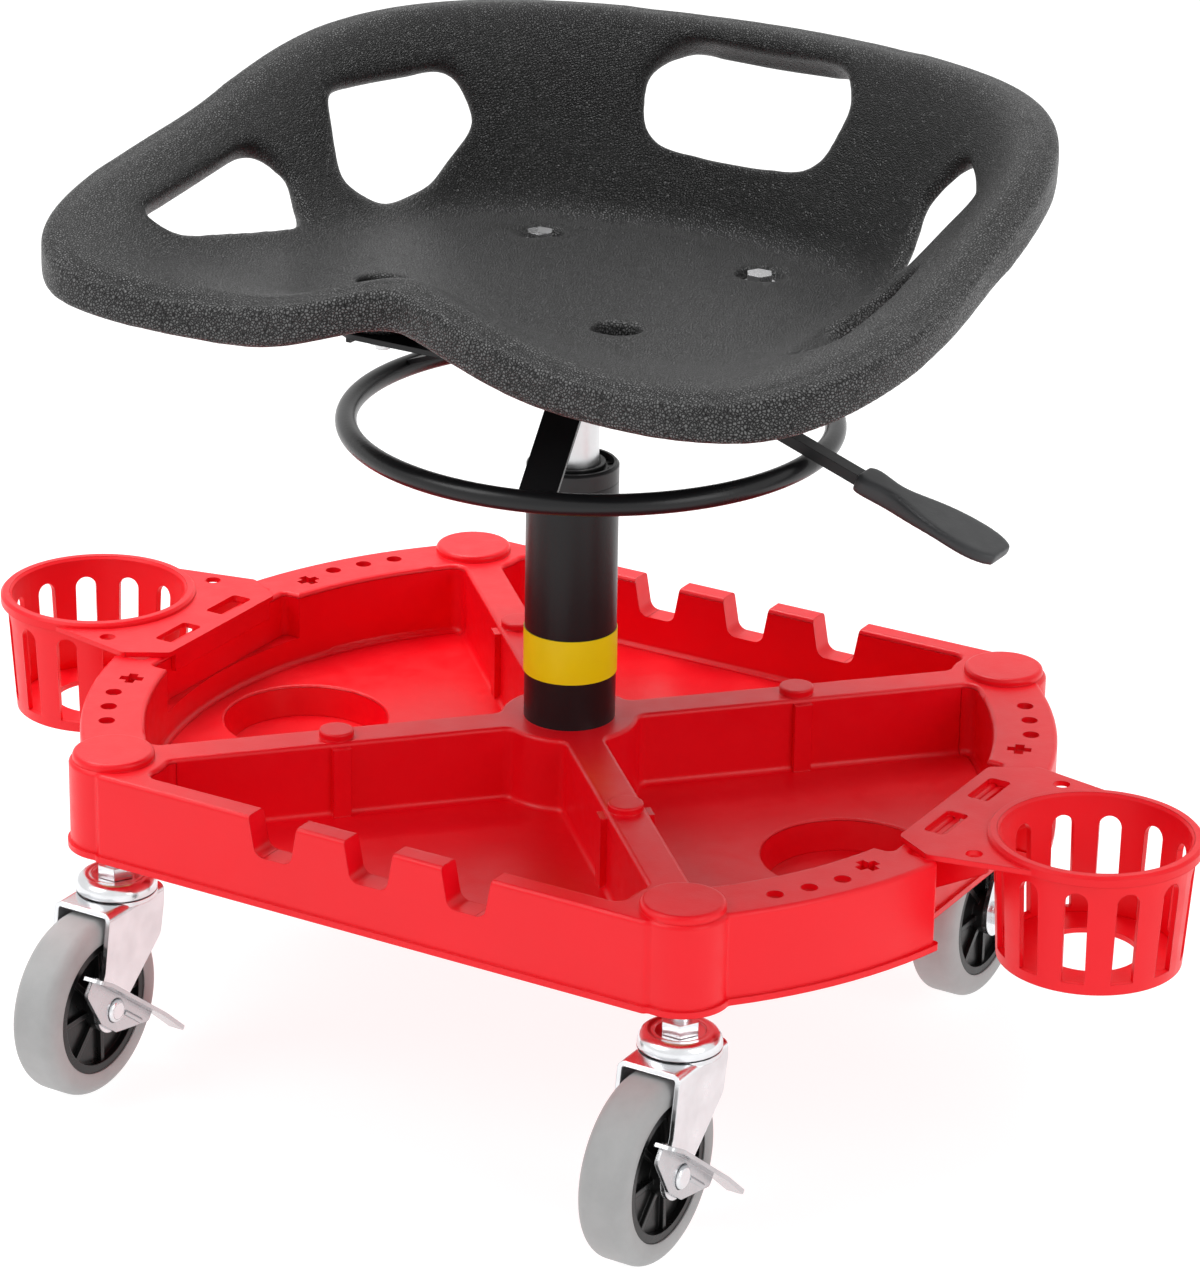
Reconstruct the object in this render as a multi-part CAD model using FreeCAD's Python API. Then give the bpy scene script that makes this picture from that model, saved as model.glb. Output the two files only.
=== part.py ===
import FreeCAD, Part
import math
import os

# Rolling mechanic's seat: a moulded tractor seat on a gas lift, a round tool tray on
# four swivel casters, two hook-on cup holders and a grab ring under the seat.
# Millimetres. The origin is on the floor under the column, +Z is up,
# and the seat faces -Y.

# Shared clearances
overrun = 2.0
running_gap = 0.08
seat_gap = 0.02
loose_gap = 0.4
seam_angle = 67.0

# Wheels and forks of the four swivel casters
wheel_radius = 50.0
tread_width = 27.0
core_radius = 37.0
tread_shoulder = 5.0
tread_lip = 1.2
core_dish_depth = 5.0
core_rim_wall = 4.5
core_hub_radius = 12.5
core_rib_count = 8
core_rib_width = 3.0
hub_side_gap = 0.5
caster_trail = 31.4
axle_radius = 4.0
sleeve_radius = 6.0
fork_steel = 2.6
fork_side_gap = 2.0
fork_nose_radius = 13.0
fork_rear_reach = 18.4
fork_front_reach = 31.0
fork_rear_drop = 10.0
fork_knee_y = 14.5
fork_knee_z = 77.0
fork_shin_y = -36.5
fork_shin_z = 73.0
fork_head_radius = 22.0
axle_head_radius = 6.5
axle_head_height = 4.5
axle_nut_radius = 7.0
axle_nut_height = 5.5
axle_end_length = 2.0
stem_radius = 6.0
kingpin_head_radius = 9.5
kingpin_head_height = 2.5
kingpin_gap = 0.3
ball_radius = 2.8
ball_circle_radius = 14.5
ball_count = 8
head_cap_steel = 2.4
head_cap_skirt_gap = 0.9
stem_nut_radius = 10.5
stem_nut_height = 7.0
stem_insert_radius = 10.5
stem_insert_height = 28.0
fork_top_z = 105.4

# Side brake levers of the two front casters
brake_steel = 2.2
brake_gap = 0.15
brake_tilt = 38.0
brake_toe = 35.0
brake_heel = 31.0
brake_height = 21.0
brake_cheek = 8.0
brake_corner = 3.0
brake_flange = 11.0
brake_pedal_reach = 60.6
brake_thumb_reach = 37.0
brake_pedal_drop = 1.8
brake_bead = 1.0
brake_bead_width = 3.0
brake_bead_length = 18.0

# Tool tray
tray_bottom_z = 132.0
tray_height = 50.0
tray_arc_radius = 266.0
tray_side_share = 0.7782
caster_x_share = 0.6560
caster_y_share = 0.6827
tray_wall = 3.5
tray_floor_z = 140.0
tray_floor_thickness = 4.0
pocket_arc_inset = 1.0118
side_wall_width = 14.0
chord_share = 0.9023
chord_half_share = 0.2368
chord_wall = 8.0
chord_pocket_extra = 3.0
chord_corner_radius = 4.0
chord_ledge_rise = 15.0
corner_boss_share = 0.0902
corner_wall_extra = 5.5
corner_disc_inset = 2.0
corner_disc_rise = 4.2
corner_disc_round = 2.4
tray_lip = 1.5
tray_lip_height = 3.6
pocket_corner_radius = 7.0
pocket_floor_radius = 3.5
top_edge_radius = 2.4
upright_blend_radius = 3.0
spoke_width = 22.0
spoke_boss_radius = 9.5
spoke_boss_rise = 4.0
spoke_boss_share = 0.517
spoke_rib_width = 10.0
spoke_rib_proud = 3.5
hub_radius = 37.9
hub_bottom_z = 104.0
hub_lower_radius = 33.0
hub_rib_count = 8
hub_rib_reach = 44.0
hub_rib_thickness = 4.0
notch_width = 30.0
notch_floor_width = 22.0
notch_depth = 22.0
notch_pitch = 59.0
notch_middle_x = 3.5
notch_corner_radius = 6.0
tool_hole_radius = 4.5
tool_hole_inset = 14.5
tool_hole_angles = (34.9, 30.4, 25.8)
cross_hole_inset = 20.0
cross_hole_angle = 21.0
cross_hole_length = 13.0
cross_hole_width = 5.0
well_share = 0.6504
well_radius = 46.5
well_floor_radius = 42.0
well_depth = 17.0
well_wall = 3.0
well_lip = 1.5

# Cup holders hooked on the flat middle of each curved side
cup_outset = 76.0
cup_rim_z = 188.0
cup_inner_radius = 49.5
cup_rim_radius = 56.0
cup_rim_height = 6.0
cup_wall = 3.0
cup_depth = 70.0
cup_taper = 4.0
cup_slot_count = 12
cup_slot_width = 12.0
cup_slot_top = 18.0
cup_ring_height = 6.0
cup_floor_hole_radius = 26.0
bracket_thickness = 3.0
bracket_half_length = 52.0
bracket_corner_outset = 12.0
bracket_corner_y = 66.0
bracket_inner_inset = 11.0
bracket_corner_radius = 5.0
bracket_lip_depth = 13.0
bracket_lip_thickness = 2.6
bracket_skirt_depth = 30.0
bracket_skirt_thickness = 3.0
bracket_slot_outset = 2.5
bracket_slot_y = 25.0
bracket_slot_length = 29.0
bracket_slot_width = 12.5
bracket_slot_corner = 2.5
bracket_hole_outset = 32.0
bracket_hole_y = 52.0
hook_gap = 0.3

# Gas lift column
column_radius = 25.0
column_wall = 1.6
column_top_z = 319.0
column_base_thickness = 4.0
band_bottom_z = 209.0
band_height = 25.0
band_thickness = 0.5
bush_rim_height = 10.0
bush_guide_length = 52.0
bush_collar_radius = 17.5
bush_groove_depth = 3.0
bush_notch_count = 18
bush_notch_width = 2.4
bush_lip = 1.4
rod_radius = 5.0
rod_foot_radius = 4.0
rod_top_z = 327.0
thrust_washer_radius = 14.0
thrust_washer_thickness = 2.0
thrust_ball_radius = 2.0
thrust_ball_circle = 10.0
thrust_ball_count = 8
rod_clip_radius = 8.0
rod_clip_thickness = 1.5
piston_height = 16.0
piston_seal_height = 4.0
piston_seal_depth = 1.6
tube_radius = 14.0
tube_bore_radius = 11.5
tube_bottom_z = 212.0
tube_plug_height = 14.0
tube_cone_length = 18.0
tube_cone_drop = 0.9
tube_top_z = 396.0
tube_top_wall = 8.0
valve_radius = 3.5
valve_height = 4.4
valve_depth = 5.0

# Seat plate, hub and height lever
plate_z = 411.0
plate_steel = 3.0
plate_length = 200.0
plate_width = 182.0
plate_corner_radius = 18.0
plate_flange_drop = 9.0
plate_hole_radius = 9.0
hub_socket_radius = 20.0
hub_bottom_gap_z = 379.0
lever_slot_width = 10.4
lever_pivot_x = 27.0
lever_pivot_z = 403.5
lever_pin_radius = 2.5
lever_pin_head_radius = 4.0
lever_pin_head_height = 1.5
lever_width = 9.0
lever_thickness = 6.0
lever_inner_reach = 30.0
lever_slope = 19.0
lever_bar_length = 168.0
ear_thickness = 3.0
ear_reach = 9.0
ear_drop = 8.0
ear_gap = 0.7
grip_length = 87.0
grip_neck_width = 15.5
grip_neck_height = 11.0
grip_paddle_width = 33.0
grip_paddle_height = 6.5
grip_paddle_rise = 2.2
grip_overlap = 14.0

# Grab ring
ring_radius = 130.5
ring_bar_radius = 5.8
ring_z = 352.5
ring_shift_x = 8.0
ring_shift_y = 4.6
strap_width = 20.0
strap_thickness = 3.0
strap_bend_reach = 44.0
strap_angles = (168.3, 288.3, 48.3)
collar_radius = 34.0
collar_thickness = 3.5
collar_z = 390.0

# Seat moulding
seat_reach = 260.0
seat_low_z = 432.0
seat_drop = 0.084
seat_rise = 70.0
seat_thickness = 11.0
rim_roll_radius = 13.0
seat_flat_share = 0.60
seat_angles = (-90.0, -72.0, -58.0, -42.0, -22.0, 0.0, 22.0, 45.0, 66.0, 90.0)
seat_reach_shares = (0.603, 0.690, 0.790, 1.005, 0.973, 0.889, 0.910, 0.907, 0.862, 0.860)
seat_rise_shares = (0.360, 0.206, 0.087, 0.166, 0.394, 0.646, 0.961, 1.069, 1.062, 1.030)
seat_ring_shares = (0.48, 0.54, 0.60, 0.67, 0.74, 0.81, 0.88, 0.94)
seat_wall_extra_share = 0.45
bolt_rear_x = 68.5
bolt_rear_y = 77.0
bolt_front_x = 70.5
bolt_front_y = -78.0
bolt_boss_radius = 19.0
bolt_recess_radius = 13.0
bolt_floor_thickness = 4.5
bolt_radius = 4.0
bolt_head_radius = 7.5
bolt_head_height = 5.3
bolt_washer_radius = 9.0
bolt_washer_thickness = 1.6
bolt_nut_height = 6.5
bolt_tail = 3.0
window_depth = 60.0

# Windows in the seat's wall: the centre in shares of the reach and the rise, the way each
# faces, the wall's slope, and an outline in shares of its size, along the rim and up the wall
rear_window_centre_shares = (0.625, 0.317, 0.48)
rear_window_facing = 26.4
rear_window_slope = 51.6
rear_window_size_share = 0.181
rear_window_corner = 10.0
rear_window_shares = ((-0.68, 0.71), (0.98, 0.71), (1.0, -0.05), (0.21, -0.66), (-0.53, -0.86),
                      (-0.95, -0.53))
front_window_centre_shares = (0.714, -0.185, 0.351)
front_window_facing = 8.1
front_window_slope = 37.4
front_window_size_share = 0.192
front_window_corner = 9.0
front_window_shares = ((-1.18, 0.234), (0.87, 0.584), (1.01, 0.06), (0.67, -0.57), (-1.06, -0.24))
back_window_centre_shares = (0.0, 0.685, 0.775)
back_window_facing = 90.0
back_window_slope = 55.0
back_window_size_share = 0.246
back_window_corner = 19.0
back_window_shares = ((-0.80, 0.51), (0.80, 0.51), (1.0, 0.10), (0.84, -0.49), (-0.84, -0.49),
                      (-1.0, 0.10))

os.makedirs("parts", exist_ok=True)
V = FreeCAD.Vector
UP = V(0, 0, 1)


def save(shape, name):
    shape.exportStep("parts/" + name + ".step")


def rod(radius, z0, z1, x=0.0, y=0.0):
    # The seam line of the round face is turned away from the tray's corners and pockets.
    shape = Part.makeCylinder(radius, z1 - z0, V(x, y, z0))
    shape.rotate(V(x, y, z0), UP, seam_angle)
    return shape


def block(x0, x1, y0, y1, z0, z1):
    return Part.makeBox(x1 - x0, y1 - y0, z1 - z0, V(x0, y0, z0))


def tube(outer, inner, z0, z1, x=0.0, y=0.0):
    bore = rod(inner, z0 - overrun, z1 + overrun, x, y)
    return rod(outer, z0, z1, x, y).cut(bore)


def joined(shapes):
    first = shapes[0]
    if len(shapes) == 1:
        return first
    return first.multiFuse(shapes[1:]).removeSplitter()


def without(shape, tools):
    return shape.cut(Part.makeCompound(tools))


def turned(points, x=0.0, y=0.0):
    # Points are (radius, z) pairs turned about an upright axis at x, y.
    ring = [V(x + r, y, z) for r, z in points]
    face = Part.Face(Part.makePolygon(ring + ring[:1]))
    return face.revolve(V(x, y, 0), UP, 360)


def turned_along_x(points, y, z):
    # Points are (radius, x) pairs turned about an axle along X.
    ring = [V(px, y, z + r) for r, px in points]
    face = Part.Face(Part.makePolygon(ring + ring[:1]))
    return face.revolve(V(0, y, z), V(1, 0, 0), 360)


def rounded_wire(points, radii):
    # A closed outline of straight runs joined by tangent arcs.
    count = len(points)
    if not isinstance(radii, (list, tuple)):
        radii = [radii] * count
    entries = []
    for i in range(count):
        here = V(*points[i], 0)
        before = V(*points[i - 1], 0) - here
        after = V(*points[(i + 1) % count], 0) - here
        before.normalize()
        after.normalize()
        turn = math.pi - before.getAngle(after)
        back_off = radii[i] * math.tan(turn / 2)
        bisector = before + after
        bisector.normalize()
        to_middle = radii[i] / math.cos(turn / 2) - radii[i]
        start = here + before * back_off
        end = here + after * back_off
        entries.append((start, here + bisector * to_middle, end))
    edges = []
    for i in range(count):
        start, middle, end = entries[i]
        edges.append(Part.Arc(start, middle, end).toShape())
        edges.append(Part.makeLine(end, entries[(i + 1) % count][0]))
    return Part.Wire(edges)


def prism(points, radii, z0, z1):
    face = Part.Face(rounded_wire(points, radii))
    face.translate(V(0, 0, z0))
    return face.extrude(V(0, 0, z1 - z0))


def hexagon(circle_radius, z0, z1, x, y):
    corners = []
    for k in range(6):
        a = math.radians(60 * k)
        corners.append(V(x + circle_radius * math.cos(a), y + circle_radius * math.sin(a), z0))
    face = Part.Face(Part.makePolygon(corners + corners[:1]))
    return face.extrude(V(0, 0, z1 - z0))


def along_x(shape, y, z):
    # Lays an upright piece along +X, its base centre at the given y and z.
    laid = shape.copy()
    laid.rotate(V(0, 0, 0), V(0, 1, 0), 90)
    laid.translate(V(0, y, z))
    return laid


def mirrored(shape, axis):
    return shape.mirror(V(0, 0, 0), axis)


def edges_where(shape, test):
    return [e for e in shape.Edges if test(e.BoundBox)]


X_AXIS = V(1, 0, 0)
Y_AXIS = V(0, 1, 0)

caster_x = tray_arc_radius * caster_x_share
caster_y = tray_arc_radius * caster_y_share
corners = []
for side_x in (-1, 1):
    for side_y in (-1, 1):
        corners.append((side_x * caster_x, side_y * caster_y))

# Tool tray
tray_top_z = tray_bottom_z + tray_height
spoke_angle = math.degrees(math.atan2(caster_y, caster_x))
corner_distance = math.hypot(caster_x, caster_y)
tray_side_y = tray_arc_radius * tray_side_share
side_inner_y = tray_side_y - side_wall_width
chord_outer_x = tray_arc_radius * chord_share
chord_inner_x = chord_outer_x - chord_wall
pocket_arc_radius = chord_inner_x - pocket_arc_inset
chord_half_length = tray_arc_radius * chord_half_share
chord_pocket_half = chord_half_length + chord_pocket_extra
corner_boss_radius = tray_arc_radius * corner_boss_share
corner_wall_radius = corner_boss_radius + corner_wall_extra
corner_disc_radius = corner_boss_radius - corner_disc_inset
tool_hole_circle = tray_arc_radius - tool_hole_inset
cross_hole_circle = tray_arc_radius - cross_hole_inset
well_x = tray_arc_radius * well_share


def round_upright_edges(solid, radius):
    box = solid.BoundBox
    upright = edges_where(solid, lambda b: b.ZLength > box.ZLength * 0.9
                          and b.XLength < seat_gap and b.YLength < seat_gap)
    return solid.makeFillet(radius, upright).Solids[0]


def tray_outline(grow, z0, z1):
    body = rod(tray_arc_radius + grow, z0, z1)
    half_y = tray_side_y + grow
    reach = tray_arc_radius + grow + overrun
    body = body.common(block(-reach, reach, -half_y, half_y, z0, z1))
    half = chord_half_length - grow
    for side in (-1, 1):
        far = side * reach
        near = side * (chord_outer_x + grow)
        body = body.cut(block(min(near, far), max(near, far), -half, half,
                              z0 - overrun, z1 + overrun))
    for x, y in corners:
        body = body.fuse(rod(corner_boss_radius + grow, z0, z1, x, y))
    return round_upright_edges(body.removeSplitter().Solids[0], upright_blend_radius)


def wedge(middle_angle, half_angle, spread, z0, z1):
    # The space between two spokes, drawn from their shared apex near the column.
    reach = tray_arc_radius * 2
    apex = spread / math.sin(math.radians(half_angle))
    points = [V(apex, 0, z0)]
    for sign in (-1, 1):
        a = math.radians(sign * half_angle)
        points.append(V(apex + reach * math.cos(a), reach * math.sin(a), z0))
    face = Part.Face(Part.makePolygon(points + points[:1]))
    solid = face.extrude(V(0, 0, z1 - z0))
    solid.rotate(V(0, 0, 0), UP, middle_angle)
    return solid


def round_floor(solid, radius):
    low = solid.BoundBox.ZMin
    floor = edges_where(solid, lambda b: b.ZMax < low + seat_gap)
    return solid.makeFillet(radius, floor).Solids[0]


def pocket_between(wedge_solid, z0, z1, places):
    pocket = wedge_solid.cut(rod(hub_radius, z0, z1))
    for x, y in places:
        pocket = pocket.cut(rod(corner_wall_radius, z0, z1, x, y))
    return round_upright_edges(pocket.removeSplitter().Solids[0], pocket_corner_radius)


def side_pocket(z0, z1):
    # The space beside the column.
    sector = wedge(0, spoke_angle, spoke_width / 2, z0, z1)
    sector = sector.common(rod(pocket_arc_radius, z0, z1))
    return pocket_between(sector, z0, z1, [])


def side_ledge(z0, z1):
    # The shallow step behind the flat outer wall.
    half = chord_pocket_half
    far = chord_inner_x
    return prism([(well_x, -half), (far, -half), (far, half), (well_x, half)],
                 chord_corner_radius, z0, z1)


def end_pocket(z0, z1):
    sector = wedge(-90, 90 - spoke_angle, spoke_width / 2, z0, z1)
    reach = tray_arc_radius
    sector = sector.common(block(-reach, reach, -side_inner_y, 0, z0, z1))
    return pocket_between(sector, z0, z1, corners)


def all_pockets(z0, z1, floor_radius):
    side = side_pocket(z0, z1)
    end = end_pocket(z0, z1)
    if floor_radius:
        side = round_floor(side, floor_radius)
        end = round_floor(end, floor_radius)
    return [side, mirrored(side, X_AXIS), end, mirrored(end, Y_AXIS)]


def well_solid(extra, top_z):
    # A round tapered well about the right side's centre, grown by the given wall.
    low_z = tray_floor_z - well_depth - extra
    face_points = [(0, low_z), (well_floor_radius + extra, low_z),
                   (well_radius + extra, top_z), (0, top_z)]
    return turned(face_points, well_x)


def make_tray():
    body = tray_outline(0.0, tray_bottom_z, tray_top_z)
    body = body.fuse(tray_outline(tray_lip, tray_bottom_z, tray_bottom_z + tray_lip_height))
    body = body.fuse(rod(hub_lower_radius, hub_bottom_z, tray_bottom_z + overrun))

    mouth_z = tray_top_z + overrun
    for tool in all_pockets(tray_floor_z, mouth_z, pocket_floor_radius):
        body = body.cut(tool)
    ledge = side_ledge(tray_floor_z + chord_ledge_rise, mouth_z)
    for tool in (ledge, mirrored(ledge, X_AXIS)):
        body = body.cut(tool)
    body = body.removeSplitter().Solids[0]
    top_edges = edges_where(body, lambda b: b.ZMin > tray_top_z - seat_gap)
    body = body.makeFillet(top_edge_radius, top_edges)

    floor_under_z = tray_floor_z - tray_floor_thickness
    low_z = tray_bottom_z - overrun
    for tool in all_pockets(low_z, floor_under_z, None):
        body = body.cut(tool)

    hollow_top = tray_top_z - tray_wall
    tools = []
    inner = pocket_arc_radius + tray_wall
    outer = tray_arc_radius - tray_wall
    sector = tube(outer, inner, low_z, hollow_top)
    span_y = caster_y - corner_boss_radius
    start_y = chord_pocket_half + tray_wall
    for side_x in (-1, 1):
        for side_y in (-1, 1):
            x0, x1 = sorted((side_x * well_x, side_x * tray_arc_radius))
            y0, y1 = sorted((side_y * start_y, side_y * span_y))
            piece = sector.common(block(x0, x1, y0, y1, low_z, hollow_top))
            piece = piece.cut(rod(corner_wall_radius, low_z, hollow_top,
                                  side_x * caster_x, side_y * caster_y))
            tools.append(piece)
    hollow_half_x = caster_x - corner_wall_radius - tray_wall
    notch_floor_z = tray_top_z - notch_depth
    for side_y in (-1, 1):
        y0, y1 = sorted((side_y * (side_inner_y + tray_wall), side_y * (tray_side_y - tray_wall)))
        tools.append(block(-hollow_half_x, hollow_half_x, y0, y1,
                           low_z, notch_floor_z - tray_wall))
    for k in range(4):
        a = (spoke_angle, 180 - spoke_angle, 180 + spoke_angle, -spoke_angle)[k]
        half = spoke_width / 2 - tray_wall
        run = block(hub_radius, corner_distance - corner_boss_radius, -half, half,
                    low_z, hollow_top)
        run.rotate(V(0, 0, 0), UP, a)
        tools.append(run)
    body = without(body, tools)

    added = []
    for x, y in corners:
        disc = rod(corner_disc_radius, tray_top_z - tray_wall, tray_top_z + corner_disc_rise, x, y)
        rim = edges_where(disc, lambda b: b.ZMin > tray_top_z + corner_disc_rise - seat_gap)
        added.append(disc.makeFillet(corner_disc_round, rim))
    for k in range(4):
        a = (spoke_angle, 180 - spoke_angle, 180 + spoke_angle, -spoke_angle)[k]
        at = corner_distance * spoke_boss_share
        boss_top = tray_top_z + spoke_boss_rise
        boss = rod(spoke_boss_radius, floor_under_z, boss_top, at)
        boss = boss.makeFillet(top_edge_radius / 2,
                               edges_where(boss, lambda b: b.ZMin > boss_top - seat_gap))
        half = spoke_width / 2 + spoke_rib_proud
        rib = block(at - spoke_rib_width / 2, at + spoke_rib_width / 2, -half, half,
                    floor_under_z, tray_top_z - top_edge_radius)
        for piece in (boss, rib):
            piece.rotate(V(0, 0, 0), UP, a)
            added.append(piece)
    for k in range(hub_rib_count):
        reach = hub_radius + hub_rib_reach
        profile = [V(hub_lower_radius - overrun, 0, hub_bottom_z + overrun),
                   V(reach, 0, floor_under_z),
                   V(reach, 0, floor_under_z + tray_wall / 2),
                   V(hub_lower_radius - overrun, 0, floor_under_z + tray_wall / 2)]
        face = Part.Face(Part.makePolygon(profile + profile[:1]))
        rib = face.extrude(V(0, hub_rib_thickness, 0))
        rib.translate(V(0, -hub_rib_thickness / 2, 0))
        rib.rotate(V(0, 0, 0), UP, k * 360.0 / hub_rib_count)
        added.append(rib)
    cup = well_solid(well_wall, tray_floor_z)
    added += [cup, mirrored(cup, X_AXIS)]
    body = joined([body] + added)
    well = well_solid(0.0, tray_floor_z)
    for tool in (well, mirrored(well, X_AXIS)):
        body = body.cut(tool)
    lips = edges_where(body, lambda b: abs(b.ZMin - tray_floor_z) < seat_gap
                       and abs(b.ZMax - tray_floor_z) < seat_gap
                       and abs(b.YLength - 2 * well_radius) < overrun)
    body = body.makeFillet(well_lip, lips)

    cuts = [rod(column_radius + seat_gap, hub_bottom_z - overrun, tray_top_z + overrun)]
    for x, y in corners:
        cuts.append(rod(stem_insert_radius + seat_gap, tray_bottom_z - overrun,
                        tray_bottom_z + stem_insert_height, x, y))
    for side_y in (-1, 1):
        for step in (-1, 0, 1):
            middle = notch_middle_x + step * notch_pitch
            top_half = notch_width / 2
            low_half = notch_floor_width / 2
            rise = notch_depth + overrun
            slope = (top_half - low_half) / notch_depth
            outline = [(middle - low_half, notch_floor_z),
                       (middle + low_half, notch_floor_z),
                       (middle + low_half + slope * rise, notch_floor_z + rise),
                       (middle - low_half - slope * rise, notch_floor_z + rise)]
            wire = rounded_wire(outline, [notch_corner_radius, notch_corner_radius,
                                          notch_corner_radius / 4, notch_corner_radius / 4])
            wire.rotate(V(0, 0, 0), X_AXIS, 90)
            y0, y1 = sorted((side_y * (side_inner_y - overrun * 2),
                             side_y * (tray_side_y + overrun * 2)))
            cutter = Part.Face(wire).extrude(V(0, y1 - y0, 0))
            cutter.translate(V(0, y0, 0))
            cuts.append(cutter)
    for side_x in (-1, 1):
        for side_y in (-1, 1):
            for angle in tool_hole_angles:
                a = math.radians(angle)
                cuts.append(rod(tool_hole_radius, hollow_top - overrun, tray_top_z + overrun,
                                side_x * tool_hole_circle * math.cos(a),
                                side_y * tool_hole_circle * math.sin(a)))
            a = math.radians(cross_hole_angle)
            for turn in (0, 90):
                bar = block(-cross_hole_length / 2, cross_hole_length / 2,
                            -cross_hole_width / 2, cross_hole_width / 2,
                            hollow_top - overrun, tray_top_z + overrun)
                bar.rotate(V(0, 0, 0), UP, turn + side_x * side_y * cross_hole_angle)
                bar.translate(V(side_x * cross_hole_circle * math.cos(a),
                                side_y * cross_hole_circle * math.sin(a), 0))
                cuts.append(bar)
    return without(body, cuts)


save(make_tray(), "tray")

# Casters
fork_low_z = fork_top_z - fork_steel
ball_z = fork_top_z + ball_radius
cap_low_z = ball_z + ball_radius
cap_top_z = cap_low_z + head_cap_steel
nut_top_z = cap_top_z + stem_nut_height
fork_inner = tread_width / 2 + fork_side_gap
fork_outer = fork_inner + fork_steel
wheel_y = -caster_trail


def insert_piece(x, y):
    body = rod(stem_insert_radius, tray_bottom_z, tray_bottom_z + stem_insert_height, x, y)
    return body.cut(rod(stem_radius + seat_gap, tray_bottom_z - overrun,
                        tray_bottom_z + stem_insert_height - overrun * 2, x, y))


def stem_piece(x, y):
    head_top = fork_low_z - kingpin_gap
    shank = rod(stem_radius, head_top - overrun / 2,
                tray_bottom_z + stem_insert_height - overrun * 3, x, y)
    head = rod(kingpin_head_radius, head_top - kingpin_head_height, head_top, x, y)
    low_edge = edges_where(head, lambda b: b.ZMax < head_top - kingpin_head_height + seat_gap)
    head = head.makeChamfer(kingpin_gap * 2, low_edge)
    return shank.fuse(head).removeSplitter()


def stem_nut_piece(x, y):
    nut = hexagon(stem_nut_radius, cap_top_z, nut_top_z, x, y)
    return nut.cut(rod(stem_radius + seat_gap, cap_top_z - overrun, nut_top_z + overrun, x, y))


def head_cap_piece(x, y):
    skirt_z = fork_top_z + head_cap_skirt_gap
    inner = fork_head_radius - head_cap_steel
    profile = [(stem_radius + seat_gap, cap_low_z), (inner - head_cap_steel, cap_low_z),
               (inner, cap_low_z - head_cap_steel / 2), (inner, skirt_z),
               (fork_head_radius, skirt_z), (fork_head_radius, cap_low_z),
               (inner, cap_top_z), (stem_radius + seat_gap, cap_top_z)]
    return turned(profile, x, y)


def ball_pieces(circle, radius, count, x, y, z):
    balls = []
    for k in range(count):
        a = math.radians(360.0 * k / count)
        at = V(x + circle * math.cos(a), y + circle * math.sin(a), z)
        balls.append(Part.makeSphere(radius, at))
    return balls


save(Part.makeCompound([insert_piece(x, y) for x, y in corners]), "stem_inserts")
save(Part.makeCompound([stem_piece(x, y) for x, y in corners]), "caster_stems")
save(Part.makeCompound([stem_nut_piece(x, y) for x, y in corners]), "caster_stem_nuts")
save(Part.makeCompound([head_cap_piece(x, y) for x, y in corners]), "caster_head_caps")
all_balls = []
for x, y in corners:
    all_balls += ball_pieces(ball_circle_radius, ball_radius, ball_count, x, y, ball_z)
save(Part.makeCompound(all_balls), "caster_balls")


def fork_piece():
    # Built about the stem axis, with the wheel trailing towards -Y.
    nose = fork_nose_radius
    outline = [V(0, fork_rear_reach, fork_top_z),
               V(0, fork_rear_reach, fork_top_z - fork_rear_drop),
               V(0, fork_knee_y, fork_knee_z),
               V(0, wheel_y + nose, wheel_radius),
               V(0, wheel_y + nose, wheel_radius - nose),
               V(0, wheel_y - nose, wheel_radius - nose),
               V(0, wheel_y - nose, wheel_radius + nose / 2),
               V(0, fork_shin_y, fork_shin_z),
               V(0, -fork_front_reach, fork_top_z)]
    face = Part.Face(Part.makePolygon(outline + outline[:1]))
    side = face.extrude(V(fork_outer * 2, 0, 0))
    side.translate(V(-fork_outer, 0, 0))
    around_axle = edges_where(side, lambda b: b.ZMax < wheel_radius - nose + seat_gap
                              and b.XLength > fork_outer)
    side = side.makeFillet(nose - seat_gap, around_axle)
    long_edges = edges_where(side, lambda b: b.XLength > fork_outer
                             and b.ZMin > wheel_radius - seat_gap
                             and b.ZMax < fork_top_z - seat_gap)
    side = side.makeFillet(nose / 2, long_edges)
    top_edges = edges_where(side, lambda b: b.YLength > fork_rear_reach
                            and b.ZMin > fork_top_z - seat_gap)
    side = side.makeFillet(fork_steel * 1.6, top_edges)
    gap = block(-fork_inner, fork_inner, -corner_distance, corner_distance,
                0, fork_low_z)
    gap = gap.makeFillet(fork_steel * 0.6, edges_where(
        gap, lambda b: b.YLength > corner_distance and b.ZMin > fork_low_z - seat_gap))
    body = side.cut(gap)
    deck = rod(fork_head_radius, fork_low_z, fork_top_z)
    body = body.fuse(deck).removeSplitter()
    body = body.cut(rod(stem_radius + loose_gap, fork_low_z - overrun, fork_top_z + overrun))
    axle_hole = along_x(rod(axle_radius + seat_gap, -fork_outer * 2, fork_outer * 2),
                        wheel_y, wheel_radius)
    return body.cut(axle_hole)


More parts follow.
